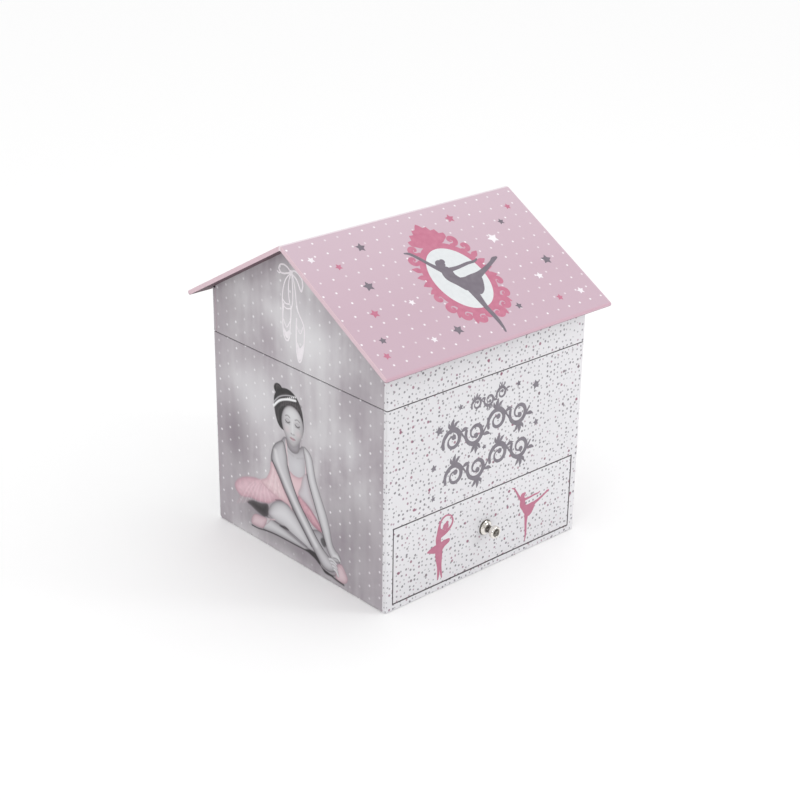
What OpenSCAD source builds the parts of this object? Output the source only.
// Musical jewellery box in the shape of a house, with a drawer below and a dancer inside.
// Origin: centre of the base on the table. +Z up, -Y drawer face, -X and +X gables.

/* [House] */
// Width of the walls along the drawer face
house_w = 150; // [140:1:180]
// Depth of the walls along the gables
house_d = 149; // [145:1:170]
// Height of the case below the lid seam
case_h = 120; // [112:1:140]
// Thickness of the paper covered boards of the case and the gables
board = 2.5; // [2:0.1:3]
// Gap between the case and the lid along the seam
seam = 0.6; // [0.3:0.05:0.8]

/* [Roof] */
// Slope of the two roof boards in degrees
pitch = 30; // [26:0.5:34]
// Height of the ridge above the table
ridge_h = 193; // [188:1:205]
// Thickness of the roof boards
roof_t = 2.6; // [2:0.1:4]
// How far the roof runs past the front and the back wall
eave_over = 10.6; // [6:0.2:16]
// How far the roof runs past the gables
gable_over = 9.9; // [6:0.1:16]

/* [Drawer] */
// Wall left beside the drawer opening on the left
stile_left = 5; // [4:0.1:8]
// Wall left beside the drawer opening on the right
stile_right = 4.5; // [4:0.1:8]
// Height of the sill under the drawer
sill_h = 3.5; // [3.2:0.1:6]
// Height of the top of the drawer opening
opening_top = 50.4; // [45:0.1:51]
// Gap round the drawer front
drawer_gap = 0.8; // [0.4:0.1:1]
// Thickness of the drawer's card sides
drawer_card = 2; // [1.5:0.1:2.5]
// Height of the drawer's sides
drawer_side_h = 38; // [25:1:42]

/* [Knob] */
// Radius of the knob's flange
flange_r = 4.5; // [3.5:0.1:6]
// Radius of the knob's head
head_r = 3.8; // [3:0.1:6]
// How far the knob stands out from the drawer
knob_len = 9; // [8:0.5:18]

/* [Inside] */
// Thickness of the card of the dividers and the stage
card = 2; // [1.5:0.1:2.5]
// Width of the stage
stage_w = 80; // [76:1:90]
// Height of the top of the stage
stage_top = 89; // [88:0.5:92]
// Distance from the middle of the house to the front of the stage
stage_front = 22; // [18:1:28]
// Height of the dividers above the tray floor
divider_h = 30; // [20:1:40]
// Diameter of one velvet ring roll
roll_d = 9.2; // [8:0.1:9.4]

/* [Movement] */
// Height of the axes of the movement
train_z = 71; // [70:0.5:72]
// Gear module of the movement
gear_m = 0.8; // [0.8:0.1:0.8]
// Teeth on the rim of the spring barrel
barrel_teeth = 30; // [30:2:30]
// Teeth on the gear of the pinned cylinder
cylinder_teeth = 20; // [20:2:20]
// Teeth on the large idler gear
idler_teeth = 24; // [24:2:24]
// Teeth on each pinion
pinion_teeth = 8; // [8:1:8]
// Teeth standing on the face of the barrel
crown_teeth = 24; // [24:1:24]
// Radius of the winding arbor
arbor_r = 2; // [1.5:0.1:2.2]
// Radius of the thin arbors
thin_r = 0.8; // [0.6:0.1:1]
// Radial running clearance of the shafts
run_fit = 0.05; // [0.03:0.01:0.08]

/* [Dancer] */
// Radius of the turntable under the dancer
turntable_r = 9; // [7:0.5:12]
// Radius of the tulle skirt
tutu_r = 15; // [12:0.5:18]
// Height from the dancer's toes to the finger tips
dancer_h = 41; // [36:1:42]

/* [Hinges] */
// Distance of each hinge from the middle of the house
hinge_x = 45; // [35:1:52]
// Length of one hinge
hinge_len = 24; // [20:1:30]
// Radius of the hinge knuckles
knuckle_r = 1.6; // [1.4:0.1:2]
// Radius of the hinge pins
hinge_pin_r = 0.7; // [0.5:0.1:0.9]
// Thickness of the hinge leaves
leaf_t = 0.6; // [0.5:0.1:0.8]

/* [Hidden] */

$fn = 48;
eps = 0.01;

half_w = house_w / 2;
half_d = house_d / 2;
in_w = half_w - board;
in_d = half_d - board;

// Roof: the upper surface falls from the ridge, and the board hangs below it.
slope = tan(pitch);
roof_drop = roof_t / cos(pitch);
eave_y = half_d + eave_over;
roof_x = half_w + gable_over;
lid_z = case_h + seam;
function roof_top(y) = ridge_h - abs(y) * slope;
function roof_under(y) = roof_top(y) - roof_drop;
ceiling_t = 2;
ceiling_top = roof_under(in_d) - 1.2;
mirror_t = 1.8;
mirror_w = 104;
mirror_d = 84;

// Drawer
opening_x0 = -half_w + stile_left;
opening_x1 = half_w - stile_right;
drawer_x0 = opening_x0 + drawer_gap;
drawer_x1 = opening_x1 - drawer_gap;
drawer_z0 = sill_h + drawer_gap;
drawer_z1 = opening_top - drawer_gap;
drawer_back_y = in_d - 5;
drawer_floor_t = 2;
drawer_pad_t = 1.2;
runner_gap = 0.3;
runner_h = 22;
knob_z = (drawer_z0 + drawer_z1) / 2;
knob_x = (opening_x0 + opening_x1) / 2;
knob_screw_r = 1.4;

// Tray and stage
shelf_z0 = opening_top + 1;
shelf_z1 = shelf_z0 + board;
half_stage = stage_w / 2;
stage_z0 = stage_top - card;
long_divider_y = -30;
pad_t = 1.2;
pad_gap = 0.4;
roll_count = 4;
roll_pitch = roll_d + 0.7;
roll_x0 = -in_w + 1;
roll_x1 = -2;
roll_y0 = -in_d + 1.4;

// Movement: every arbor lies along Y, the dancer's spindle stands upright.
barrel_pitch_r = gear_m * barrel_teeth / 2;
cylinder_pitch_r = gear_m * cylinder_teeth / 2;
idler_pitch_r = gear_m * idler_teeth / 2;
pinion_pitch_r = gear_m * pinion_teeth / 2;
barrel_x = 0;
cylinder_x = barrel_pitch_r + cylinder_pitch_r;
idler_x = -barrel_pitch_r - pinion_pitch_r;
fly_x = idler_x - idler_pitch_r - pinion_pitch_r;
rear_plate_y = 66.5;
rear_plate_t = 2;
bridge_y = 36;
bridge_t = 1.6;
barrel_y0 = 54;
barrel_y1 = 65.6;
barrel_r = 10.9;
rim_y0 = 58;
rim_y1 = 62;
drum_y0 = 40;
drum_y1 = 56;
drum_r = 6.2;
pin_len = 0.7;
idler_gear_y0 = 44.4;
idler_gear_y1 = 46.6;
tooth_play = 0.2;
crown_r0 = 8.6;
crown_r1 = 10.8;
crown_mean_r = (crown_r0 + crown_r1) / 2;
crown_h = 1.4;
crown_pitch_r = crown_mean_r * pinion_teeth / crown_teeth;
spindle_y = barrel_y0 - crown_h / 2 - crown_pitch_r;
spindle_r = 1.2;
spindle_z0 = train_z + 4.6;
spindle_pinion_z0 = train_z + crown_r0 + 0.1;
spindle_pinion_z1 = train_z + crown_r1 - 0.1;
spindle_gear_m = 2 * crown_pitch_r / pinion_teeth;
turntable_z0 = stage_top + 0.5;
turntable_t = 1.4;
spring_h = 8;
spring_r = 2.4;
toe_z = turntable_z0 + turntable_t + spring_h;
pillar_r = 2;
pillar_places = [[-33, 59.5], [-33, 82.5], [33, 59.5], [33, 82.5]];
key_gap = 1.5;
comb_t = 1;
comb_x0 = cylinder_x + drum_r + pin_len + 0.3;
comb_x1 = comb_x0 + 7.5;
comb_notes = 18;

// Stop wire beside the dancer: a peg under the lid's ceiling keeps it pressed down.
wire_y = 56;
wire_r = 1;
wire_z0 = train_z + 7.6;
wire_top = case_h + 0.1;
peg_r = 3;

// Hinges
hinge_y = half_d + knuckle_r + 0.1;
leaf_h = 10;
knuckle_gap = 0.2;
middle_knuckle = 8;
rivet_r = 1.1;

// A box from its low corner to its high corner.
module block(low, high) {
    translate(low) cube(high - low);
}

// Extrudes an outline drawn in X and Z along Y, from y0 to y1.
module along_y(x, z, y0, y1) {
    translate([x, y1, z]) rotate([90, 0, 0]) linear_extrude(y1 - y0) children();
}

// Extrudes an outline drawn in Y and Z along X, from x0 to x1.
module along_x(x0, x1) {
    translate([x0, 0, 0]) rotate([90, 0, 90]) linear_extrude(x1 - x0) children();
}

module rod_y(x, z, y0, y1, r) {
    translate([x, y1, z]) rotate([90, 0, 0]) cylinder(h = y1 - y0, r = r);
}

module rod_x(y, z, x0, x1, r) {
    translate([x0, y, z]) rotate([0, 90, 0]) cylinder(h = x1 - x0, r = r);
}

// Outline of a gear with straight sided teeth and a little play.
function gear_points(teeth, m, phase) =
    let (pitch_r = teeth * m / 2, tip_r = pitch_r + 0.75 * m, root_r = pitch_r - m, step = 360 / teeth)
    [for (i = [0 : teeth - 1], corner = [[-0.25, 0], [-0.1, 1], [0.1, 1], [0.25, 0]])
        let (angle = phase + (i + corner[0]) * step, r = corner[1] == 1 ? tip_r : root_r)
        r * [cos(angle), sin(angle)]];

module gear_outline(teeth, m, phase = 0) {
    polygon(gear_points(teeth, m, phase));
}

module mirrored_in_x() {
    children();
    mirror([1, 0, 0]) children();
}

// ---- Case ----

module base_board() {
    color("gainsboro") block([-in_w, -in_d, 0], [in_w, in_d, board]);
}

module left_wall() {
    color("lavender") block([-half_w, -half_d, 0], [-in_w, half_d, case_h]);
}

module right_wall() {
    color("lavender") block([in_w, -half_d, 0], [half_w, half_d, case_h]);
}

module back_wall() {
    color("gainsboro") difference() {
        block([-in_w, in_d, 0], [in_w, half_d, case_h]);
        rod_y(barrel_x, train_z, in_d - 1, half_d + 1, arbor_r + 1);
        for (place = pillar_places)
            rod_y(place[0], place[1], in_d - 1, half_d + 1, 1.2);
    }
}

module front_panel() {
    color("whitesmoke") difference() {
        block([-in_w, -half_d, 0], [in_w, -in_d, case_h]);
        block([opening_x0, -half_d - 1, sill_h], [opening_x1, -in_d + 1, opening_top]);
    }
}

module shelf_board() {
    color("thistle") block([-in_w, -in_d, shelf_z0], [in_w, in_d, shelf_z1]);
}

// Two card strips, each an L that carries and guides one side of the drawer.
module drawer_runners() {
    color("gainsboro") {
        runner(-in_w, drawer_x0 - runner_gap, drawer_x0 + 3);
        runner(in_w, drawer_x1 + runner_gap, drawer_x1 - 3);
    }
}

module runner(wall_x, guide_x, foot_x) {
    foot_top = drawer_z0 - runner_gap;
    low = min(wall_x, guide_x);
    high = max(wall_x, guide_x);
    block([low, -in_d, foot_top - eps], [high, in_d, runner_h]);
    block([min(wall_x, foot_x), -in_d, board], [max(wall_x, foot_x), in_d, foot_top]);
}

// ---- Tray, stage and cushions ----

module stage_board() {
    color("thistle") difference() {
        block([-half_stage, stage_front, stage_z0], [half_stage, in_d, stage_top]);
        translate([barrel_x, spindle_y, stage_z0 - 1]) cylinder(h = card + 2, r = 3);
        translate([fly_x, wire_y, stage_z0 - 1]) cylinder(h = card + 2, r = wire_r + run_fit);
    }
}

module stage_front_board() {
    color("thistle") block([-half_stage, stage_front, shelf_z1], [half_stage, stage_front + card, stage_z0]);
}

module stage_side_boards() {
    color("thistle") mirrored_in_x()
        block([half_stage - card, stage_front + card, shelf_z1], [half_stage, in_d, stage_z0]);
}

module long_divider() {
    color("thistle")
        block([-in_w, long_divider_y, shelf_z1], [in_w, long_divider_y + card, shelf_z1 + divider_h]);
}

module cross_divider() {
    color("thistle")
        block([-card / 2, long_divider_y + card, shelf_z1], [card / 2, stage_front, shelf_z1 + divider_h]);
}

// Velvet pads on the tray floor, one in each compartment without rolls.
module floor_pads() {
    top = shelf_z1 + pad_t;
    color("mistyrose") {
        block([card / 2 + pad_gap, -in_d + pad_gap, shelf_z1],
            [in_w - pad_gap, long_divider_y - pad_gap, top]);
        mirrored_in_x() {
            block([card / 2 + pad_gap, long_divider_y + card + pad_gap, shelf_z1],
                [in_w - pad_gap, stage_front - pad_gap, top]);
            block([half_stage + pad_gap, stage_front - pad_gap, shelf_z1],
                [in_w - pad_gap, in_d - pad_gap, top]);
        }
    }
}

// Velvet rolls that hold rings between them.
module ring_rolls() {
    color("mistyrose") for (i = [0 : roll_count - 1])
        rod_x(roll_y0 + roll_d / 2 + i * roll_pitch, shelf_z1 + roll_d / 2, roll_x0, roll_x1, roll_d / 2);
}

// ---- Hinges ----

module knuckle_ring(x0, x1) {
    difference() {
        rod_x(hinge_y, case_h, x0, x1, knuckle_r);
        rod_x(hinge_y, case_h, x0 - 1, x1 + 1, hinge_pin_r + run_fit);
    }
}

// One leaf: a plate on the wall with an arm to its knuckles, side is -1 below and 1 above.
module leaf_plate(x0, x1, side) {
    near = case_h + side * (knuckle_r + 0.3);
    far = case_h + side * (knuckle_r + 0.3 + leaf_h);
    block([x0, half_d, min(near, far)], [x1, half_d + leaf_t, max(near, far)]);
}

module leaf_arm(x0, x1, side) {
    near = case_h + side * (hinge_pin_r + 0.3);
    far = case_h + side * (knuckle_r + 0.4);
    block([x0, half_d + 0.1, min(near, far)], [x1, half_d + 0.1 + leaf_t, max(near, far)]);
}

module case_hinge_leaves() {
    half = hinge_len / 2;
    inner = middle_knuckle / 2 + knuckle_gap;
    color("silver") mirrored_in_x() translate([hinge_x, 0, 0]) difference() {
        union() {
            leaf_plate(-half, half, -1);
            for (x0 = [-half, inner]) {
                knuckle_ring(x0, x0 + half - inner);
                leaf_arm(x0, x0 + half - inner, -1);
            }
        }
        rod_x(hinge_y, case_h, -half - 1, half + 1, hinge_pin_r + run_fit);
    }
}

module lid_hinge_leaves() {
    half = middle_knuckle / 2;
    color("silver") mirrored_in_x() translate([hinge_x, 0, 0]) difference() {
        union() {
            leaf_plate(-hinge_len / 2, hinge_len / 2, 1);
            knuckle_ring(-half, half);
            leaf_arm(-half, half, 1);
        }
        rod_x(hinge_y, case_h, -half - 1, half + 1, hinge_pin_r + run_fit);
    }
}

module hinge_pins() {
    half = hinge_len / 2;
    color("gray") mirrored_in_x() translate([hinge_x, 0, 0]) {
        rod_x(hinge_y, case_h, -half - 0.1, half + 0.1, hinge_pin_r);
        rod_x(hinge_y, case_h, -half - 0.8, -half - 0.1, hinge_pin_r + 0.5);
        rod_x(hinge_y, case_h, half + 0.1, half + 0.8, hinge_pin_r + 0.5);
    }
}

// Two rivets through each leaf, their heads lie on the leaf.
module leaf_rivets(side) {
    z = case_h + side * (knuckle_r + 0.3 + leaf_h / 2);
    color("silver") mirrored_in_x() translate([hinge_x, 0, 0]) for (x = [-7, 7])
        translate([x, half_d + leaf_t, z]) rotate([-90, 0, 0])
            cylinder(h = 0.5, r1 = rivet_r, r2 = 0.6 * rivet_r);
}

module case_hinge_rivets() {
    leaf_rivets(-1);
}

module lid_hinge_rivets() {
    leaf_rivets(1);
}

// ---- Lid ----

module lid_strip() {
    top_out = roof_under(half_d);
    top_in = roof_under(in_d);
    polygon([[half_d, lid_z], [half_d, top_out], [in_d, top_in], [in_d, lid_z]]);
}

module lid_front_wall() {
    color("whitesmoke") mirror([0, 1, 0]) along_x(-in_w, in_w) lid_strip();
}

module lid_back_wall() {
    color("gainsboro") along_x(-in_w, in_w) lid_strip();
}

module gable_outline() {
    top = roof_under(half_d);
    polygon([[-half_d, lid_z], [half_d, lid_z], [half_d, top], [0, ridge_h - roof_drop], [-half_d, top]]);
}

module left_gable() {
    color("lavender") along_x(-half_w, -in_w) gable_outline();
}

module right_gable() {
    color("lavender") along_x(in_w, half_w) gable_outline();
}

// One roof board, mitred at the ridge and cut square at the eave.
module roof_slab() {
    cut = roof_t * sin(pitch);
    low = [eave_y - cut, roof_top(eave_y) - roof_t * cos(pitch)];
    color("plum") along_x(-roof_x, roof_x)
        polygon([[0, ridge_h], [eave_y, roof_top(eave_y)], low, [0, ridge_h - roof_drop]]);
}

module roof_back() {
    roof_slab();
}

module roof_front() {
    mirror([0, 1, 0]) roof_slab();
}

module lid_ceiling() {
    color("thistle") block([-in_w, -in_d, ceiling_top - ceiling_t], [in_w, in_d, ceiling_top]);
}

module mirror_glass_outline() {
    corner = 6;
    offset_w = mirror_w / 2 - corner;
    offset_d = mirror_d / 2 - corner;
    square([mirror_w, mirror_d - 2 * corner], center = true);
    square([mirror_w - 2 * corner, mirror_d], center = true);
    for (x = [-offset_w, offset_w], y = [-offset_d, offset_d])
        translate([x, y]) circle(corner);
}

module mirror_glass() {
    z = ceiling_top - ceiling_t - mirror_t;
    color("lightblue") translate([0, -6, z]) linear_extrude(mirror_t) mirror_glass_outline();
}

// ---- Drawer ----

module drawer_front() {
    color("whitesmoke") difference() {
        block([drawer_x0, -half_d, drawer_z0], [drawer_x1, -in_d, drawer_z1]);
        rod_y(knob_x, knob_z, -half_d - 1, -in_d + 1, knob_screw_r + run_fit);
    }
}

module drawer_side(x0) {
    color("thistle")
        block([x0, -in_d, drawer_z0], [x0 + drawer_card, drawer_back_y, drawer_z0 + drawer_side_h]);
}

module drawer_left_side() {
    drawer_side(drawer_x0);
}

module drawer_right_side() {
    drawer_side(drawer_x1 - drawer_card);
}

module drawer_back() {
    color("thistle") block([drawer_x0 + drawer_card, drawer_back_y - drawer_card, drawer_z0],
        [drawer_x1 - drawer_card, drawer_back_y, drawer_z0 + drawer_side_h]);
}

module drawer_bottom() {
    color("thistle") block([drawer_x0 + drawer_card, -in_d, drawer_z0],
        [drawer_x1 - drawer_card, drawer_back_y - drawer_card, drawer_z0 + drawer_floor_t]);
}

module drawer_pad() {
    z = drawer_z0 + drawer_floor_t;
    color("mistyrose") block([drawer_x0 + drawer_card + pad_gap, -in_d + pad_gap, z],
        [drawer_x1 - drawer_card - pad_gap, drawer_back_y - drawer_card - pad_gap, z + drawer_pad_t]);
}

// The knob's profile is turned about its own axis: flange, waist and flat topped head.
module drawer_knob() {
    waist_r = 2.1;
    flange_t = 1.3;
    head_t = 3;
    dome = 1;
    rounded = [for (angle = [0 : 15 : 90]) dome * [cos(angle), sin(angle)]];
    profile = concat(
        [[0, 0], [flange_r, 0], [flange_r, 0.5], [flange_r - 0.6, flange_t], [waist_r, flange_t + 1.2]],
        [[waist_r, knob_len - head_t - 1], [head_r - 0.3, knob_len - head_t]],
        [for (corner = rounded) [head_r - dome, knob_len - dome] + corner],
        [[0, knob_len]]);
    color("silver") difference() {
        translate([knob_x, -half_d, knob_z]) rotate([90, 0, 0]) rotate_extrude() polygon(profile);
        rod_y(knob_x, knob_z, -half_d - 6, -half_d + 1, knob_screw_r);
    }
}

module knob_screw() {
    color("gray") {
        rod_y(knob_x, knob_z, -half_d - 6, -in_d, knob_screw_r);
        difference() {
            rod_y(knob_x, knob_z, -in_d, -in_d + 1.6, 3);
            block([knob_x - 2.4, -in_d + 0.9, knob_z - 0.4], [knob_x + 2.4, -in_d + 2, knob_z + 0.4]);
        }
    }
}

// ---- Movement ----

module plate_outline() {
    half = half_stage - card - 2.5;
    corner = 3;
    low = 56.5 - train_z;
    high = 85.5 - train_z;
    translate([-half, low + corner]) square([2 * half, high - low - 2 * corner]);
    translate([-half + corner, low]) square([2 * half - 2 * corner, high - low]);
    for (x = [-half + corner, half - corner], z = [low + corner, high - corner])
        translate([x, z]) circle(corner);
}

module plate_bores() {
    bores = [[cylinder_x, thin_r], [idler_x, thin_r], [fly_x, thin_r]];
    for (bore = bores)
        translate([bore[0], 0]) circle(bore[1] + run_fit);
    translate([barrel_x, 0]) circle(arbor_r + run_fit);
}

module movement_plate() {
    color("darkgray") along_y(0, train_z, rear_plate_y, rear_plate_y + rear_plate_t) difference() {
        plate_outline();
        plate_bores();
        for (place = pillar_places)
            translate([place[0], place[1] - train_z]) circle(1.3);
    }
}

// Front plate with the foot bearing of the dancer's spindle.
module movement_bridge() {
    color("darkgray") {
        along_y(0, train_z, bridge_y, bridge_y + bridge_t) difference() {
            plate_outline();
            plate_bores();
            for (place = pillar_places)
                translate([place[0], place[1] - train_z]) circle(1.3);
        }
        difference() {
            block([-4, bridge_y + bridge_t - eps, spindle_z0 - 1.2], [4, spindle_y + 2.6, spindle_z0 + 0.8]);
            translate([barrel_x, spindle_y, spindle_z0 - 0.8]) cylinder(h = 3, r = spindle_r + run_fit);
        }
    }
}

module movement_pillars() {
    color("silver") for (place = pillar_places) {
        rod_y(place[0], place[1], bridge_y + bridge_t, rear_plate_y, pillar_r);
        rod_y(place[0], place[1], bridge_y - 1, bridge_y + bridge_t, 1.2);
        rod_y(place[0], place[1], rear_plate_y + rear_plate_t, in_d, pillar_r + 0.6);
    }
}

// Screws from outside the back wall into the pillars.
module movement_screws() {
    color("silver") for (place = pillar_places) {
        rod_y(place[0], place[1], in_d, half_d, 1.1);
        difference() {
            rod_y(place[0], place[1], half_d, half_d + 1.4, 2.6);
            block([place[0] - 2, half_d + 0.8, place[1] - 0.35], [place[0] + 2, half_d + 2, place[1] + 0.35]);
            block([place[0] - 0.35, half_d + 0.8, place[1] - 2], [place[0] + 0.35, half_d + 2, place[1] + 2]);
        }
    }
}

// Steel comb: a plate with one tongue for each note, and the block that carries it.
module tone_comb() {
    pitch_y = (drum_y1 - drum_y0 - 1) / comb_notes;
    color("slategray") {
        difference() {
            block([comb_x0, drum_y0, train_z - comb_t / 2], [comb_x1, drum_y1, train_z + comb_t / 2]);
            for (i = [1 : comb_notes - 1])
                block([comb_x0 - 1, drum_y0 + 0.5 + i * pitch_y - 0.12, train_z - 1],
                    [comb_x0 + 4.6, drum_y0 + 0.5 + i * pitch_y + 0.12, train_z + 1]);
            for (y = [drum_y0 + 3, drum_y1 - 3])
                translate([comb_x1 - 1.5, y, train_z - 1]) cylinder(h = 2, r = 0.8);
        }
        difference() {
            block([comb_x0 + 5, drum_y0, 63], [comb_x1, rear_plate_y, train_z - comb_t / 2]);
            for (y = [drum_y0 + 3, drum_y1 - 3])
                translate([comb_x1 - 1.5, y, train_z - 6]) cylinder(h = 6, r = 0.8);
        }
    }
}

module comb_screws() {
    color("silver") for (y = [drum_y0 + 3, drum_y1 - 3]) translate([comb_x1 - 1.5, y, 0]) {
        translate([0, 0, train_z - 5]) cylinder(h = 5 + comb_t / 2, r = 0.8);
        translate([0, 0, train_z + comb_t / 2]) cylinder(h = 0.9, r = 1.4);
    }
}

module stage_bush() {
    color("goldenrod") translate([barrel_x, spindle_y, 0]) difference() {
        union() {
            translate([0, 0, stage_z0 - 1.6]) cylinder(h = card + 1.6, r = 3);
            translate([0, 0, stage_z0 - 1.6]) cylinder(h = 1.6, r = 4.5);
        }
        translate([0, 0, stage_z0 - 3]) cylinder(h = 6, r = spindle_r + run_fit);
    }
}

module spring_barrel() {
    wall = 0.8;
    hub_y = 1.6;
    color("goldenrod") difference() {
        union() {
            rod_y(barrel_x, train_z, barrel_y0, barrel_y1, barrel_r);
            along_y(barrel_x, train_z, rim_y0, rim_y1) gear_outline(barrel_teeth, gear_m);
            for (i = [0 : crown_teeth - 1])
                translate([barrel_x, 0, train_z]) rotate([0, (i + 0.5) * 360 / crown_teeth, 0]) crown_tooth();
        }
        rod_y(barrel_x, train_z, barrel_y0 + hub_y, barrel_y1 + 1, barrel_r - wall);
        rod_y(barrel_x, train_z, barrel_y0 - 1, barrel_y1 + 1, arbor_r + run_fit);
    }
}

// One tooth that stands on the barrel's face, wider at its foot.
module crown_tooth() {
    pitch_len = 2 * PI * crown_mean_r / crown_teeth;
    foot = 0.22 * pitch_len;
    tip = 0.1 * pitch_len;
    translate([0, 0, crown_r0]) linear_extrude(crown_r1 - crown_r0)
        polygon([[-foot, barrel_y0 + eps], [foot, barrel_y0 + eps],
            [tip, barrel_y0 - crown_h], [-tip, barrel_y0 - crown_h]]);
}

module barrel_cover() {
    color("darkgoldenrod") difference() {
        rod_y(barrel_x, train_z, barrel_y1 - 0.8, barrel_y1 + 0.3, barrel_r - 0.8);
        rod_y(barrel_x, train_z, barrel_y1 - 2, barrel_y1 + 1, arbor_r + run_fit);
    }
}

// The mainspring is a spiral strip wound between the hub and the barrel's wall.
module mainspring() {
    turns = 7;
    strip = 0.25;
    inner = arbor_r + 0.8;
    outer = barrel_r - 1.4;
    steps = turns * 16;
    function spiral_r(i) = inner + (outer - inner) * i / steps;
    function spiral_point(i, extra) = (spiral_r(i) + extra) * [cos(i * 22.5), sin(i * 22.5)];
    color("steelblue") along_y(barrel_x, train_z, barrel_y0 + 2.4, barrel_y1 - 1.4)
        polygon(concat([for (i = [0 : steps]) spiral_point(i, strip / 2)],
            [for (i = [steps : -1 : 0]) spiral_point(i, -strip / 2)]));
}

// Arbor of the spring, with the end pivots it turns in.
module winding_arbor() {
    color("silver") {
        rod_y(barrel_x, train_z, bridge_y, half_d + key_gap + 3, arbor_r);
        rod_y(barrel_x, train_z, bridge_y + bridge_t + 0.3, bridge_y + bridge_t + 1.5, arbor_r + 0.8);
    }
}

// Butterfly key behind the house.
module winding_key() {
    y0 = half_d + key_gap;
    color("silver") difference() {
        union() {
            rod_y(barrel_x, train_z, y0, y0 + 7, 3.2);
            translate([barrel_x, y0 + 5, train_z - 1.1]) linear_extrude(2.2) difference() {
                union() {
                    for (side = [-1, 1]) translate([side * 6.2, 6]) circle(5.2);
                    translate([-6.2, 1]) square([12.4, 6]);
                }
                for (side = [-1, 1]) translate([side * 6.6, 6.2]) circle(2);
            }
        }
        rod_y(barrel_x, train_z, y0 - 1, y0 + 3, arbor_r);
    }
}

// Brass drum with steel pins and its arbor.
module pinned_cylinder() {
    pitch_y = (drum_y1 - drum_y0 - 1) / comb_notes;
    color("goldenrod") union() {
        rod_y(cylinder_x, train_z, drum_y0, drum_y1, drum_r);
        rod_y(cylinder_x, train_z, bridge_y, rear_plate_y + 1.2, thin_r);
        for (i = [0 : comb_notes - 1], k = [0 : 1])
            translate([cylinder_x, drum_y0 + 0.5 + (i + 0.5) * pitch_y, train_z])
                rotate([0, 25 + i * 67 + k * 151, 0]) cylinder(h = drum_r + pin_len, r = 0.2, $fn = 8);
    }
}

module cylinder_gear() {
    color("goldenrod") along_y(cylinder_x, train_z, rim_y0 + tooth_play, rim_y1 - tooth_play) difference() {
        gear_outline(cylinder_teeth, gear_m, 180 / cylinder_teeth);
        circle(thin_r);
    }
}

// Pinion in mesh with the barrel and a large gear on one arbor.
module idler_gear() {
    color("goldenrod") {
        along_y(idler_x, train_z, rim_y0 + tooth_play, rim_y1 - tooth_play)
            gear_outline(pinion_teeth, gear_m, 180 / pinion_teeth);
        along_y(idler_x, train_z, idler_gear_y0, idler_gear_y1) gear_outline(idler_teeth, gear_m);
        rod_y(idler_x, train_z, bridge_y, rear_plate_y + 1.2, thin_r);
    }
}

// Fast arbor with a pinion and the two air vanes that hold the speed.
module governor_fly() {
    color("goldenrod") {
        along_y(fly_x, train_z, idler_gear_y0 + tooth_play, idler_gear_y1 - tooth_play)
            gear_outline(pinion_teeth, gear_m, 180 / pinion_teeth);
        rod_y(fly_x, train_z, bridge_y, rear_plate_y + 1.2, thin_r);
        rod_y(fly_x, train_z, 50, 62, 1.4);
        block([fly_x - 0.25, 50.5, train_z - 7], [fly_x + 0.25, 61.5, train_z + 7]);
    }
}

// ---- Dancer ----

module dancer_spindle() {
    color("silver") translate([barrel_x, spindle_y, 0]) {
        translate([0, 0, spindle_z0 - 0.7]) cylinder(h = turntable_z0 + 1 - spindle_z0 + 0.7, r = spindle_r);
        translate([0, 0, spindle_pinion_z0]) linear_extrude(spindle_pinion_z1 - spindle_pinion_z0)
            gear_outline(pinion_teeth, spindle_gear_m, 90);
    }
}

module turntable() {
    color("pink") translate([barrel_x, spindle_y, turntable_z0]) difference() {
        cylinder(h = turntable_t, r1 = turntable_r, r2 = turntable_r - 0.6);
        translate([0, 0, -1]) cylinder(h = 2, r = spindle_r);
    }
}

// The coil spring is held here as its turns, each a closed ring.
module dancer_spring() {
    turns = 6;
    wire_r = 0.45;
    color("silver") translate([barrel_x, spindle_y, turntable_z0 + turntable_t]) union() {
        for (i = [0 : turns - 1])
            translate([0, 0, wire_r + i * (spring_h - 2 * wire_r) / (turns - 1)])
                rotate_extrude() translate([spring_r, 0]) circle(wire_r, $fn = 16);
        cylinder(h = spring_h, r = spring_r - wire_r + 0.05);
    }
}

module limb(from, to, r1, r2) {
    hull() {
        translate(from) sphere(r1, $fn = 16);
        translate(to) sphere(r2, $fn = 16);
    }
}

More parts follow.
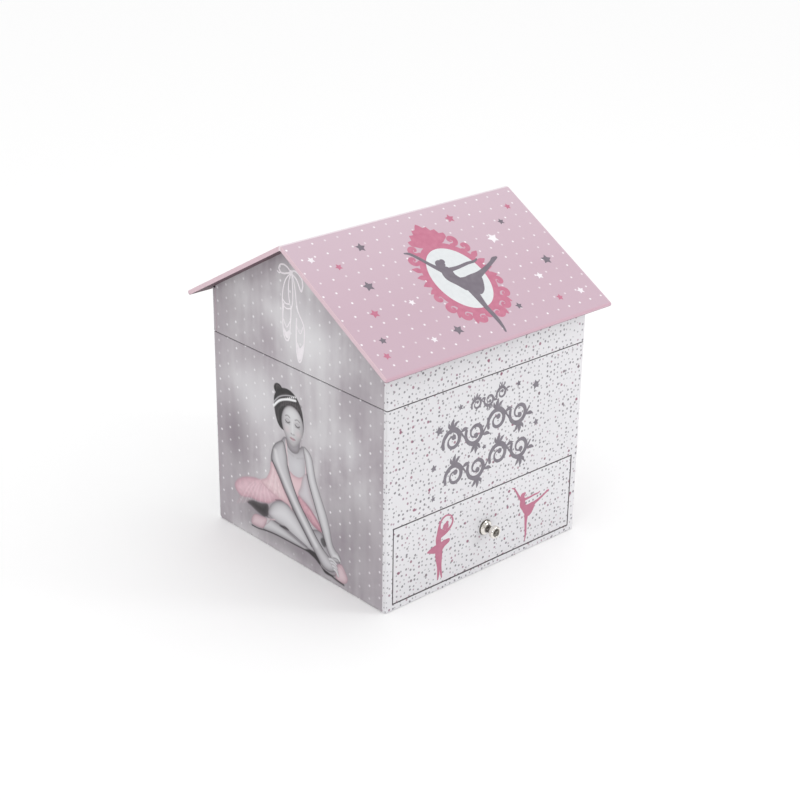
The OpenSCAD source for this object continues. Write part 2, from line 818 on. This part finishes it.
// The dancer on one pointed foot, the other toe at the knee, both arms raised in an oval.
module dancer_figure() {
    h = dancer_h;
    color("seashell") translate([barrel_x, spindle_y, toe_z]) union() {
        cylinder(h = 1, r = 2.2);
        limb([0, 0, 0.9], [0, 0, 0.24 * h], 0.8, 1.3);
        limb([0, 0, 0.24 * h], [0, 0, 0.46 * h], 1.3, 1.9);
        limb([0.5, 0, 0.45 * h], [0.13 * h, -0.05 * h, 0.31 * h], 1.8, 1.2);
        limb([0, 0, 0.48 * h], [0, 0, 0.68 * h], 2.1, 2.3);
        translate([0, 0, 0.7 * h]) cylinder(h = 0.1 * h, r = 0.8);
        translate([0, 0, 0.815 * h]) sphere(2.5, $fn = 32);
        for (side = [-1, 1]) {
            limb([side * 2.2, 0, 0.69 * h], [side * 4.9, -0.6, 0.83 * h], 0.8, 0.6);
        }
        translate([0, 1.5, 0.865 * h]) sphere(1.3, $fn = 24);
        for (side = [-1, 1]) {
            limb([side * 4.9, -0.6, 0.83 * h], [side * 1.2, -0.8, h - 0.6], 0.6, 0.5);
        }
    }
}

// The tulle skirt is a shallow closed dish round the hips.
module dancer_tutu() {
    waist_r = 2.2;
    z = toe_z + 0.5 * dancer_h;
    color("pink") translate([barrel_x, spindle_y, z]) difference() {
        rotate_extrude() polygon([
            [0, 0.6], [waist_r + 1, 0.6], [tutu_r, -2.4], [tutu_r, -0.6], [waist_r + 1, 2], [0, 2]]);
        translate([0, 0, -4]) cylinder(h = 8, r = waist_r + 0.1);
    }
}

// Wire that goes down through the stage to the fly, with a small head for the lid's peg.
module stop_wire() {
    color("silver") translate([fly_x, wire_y, 0]) {
        translate([0, 0, wire_z0]) cylinder(h = wire_top - wire_z0 - 0.5, r = wire_r);
        translate([0, 0, wire_top - 1.4]) cylinder(h = 1.4, r1 = wire_r + 1, r2 = wire_r + 0.7);
    }
}

module lid_press_peg() {
    top = ceiling_top - ceiling_t;
    color("gainsboro") translate([fly_x, wire_y, wire_top + 0.3])
        cylinder(h = top - wire_top - 0.3, r = peg_r);
}

base_board();
left_wall();
right_wall();
back_wall();
front_panel();
shelf_board();
drawer_runners();
stage_board();
stage_front_board();
stage_side_boards();
long_divider();
cross_divider();
floor_pads();
ring_rolls();
case_hinge_leaves();
case_hinge_rivets();
hinge_pins();
movement_plate();
movement_bridge();
movement_pillars();
movement_screws();
tone_comb();
comb_screws();
stage_bush();
lid_front_wall();
lid_back_wall();
left_gable();
right_gable();
roof_front();
roof_back();
lid_ceiling();
mirror_glass();  // mirror
lid_hinge_leaves();
lid_hinge_rivets();
drawer_front();
drawer_left_side();
drawer_right_side();
drawer_back();
drawer_bottom();
drawer_pad();
drawer_knob();
knob_screw();
spring_barrel();
barrel_cover();
mainspring();
winding_arbor();
winding_key();
pinned_cylinder();
cylinder_gear();
idler_gear();
governor_fly();
dancer_spindle();
turntable();
dancer_spring();
dancer_figure();
dancer_tutu();
stop_wire();
lid_press_peg();
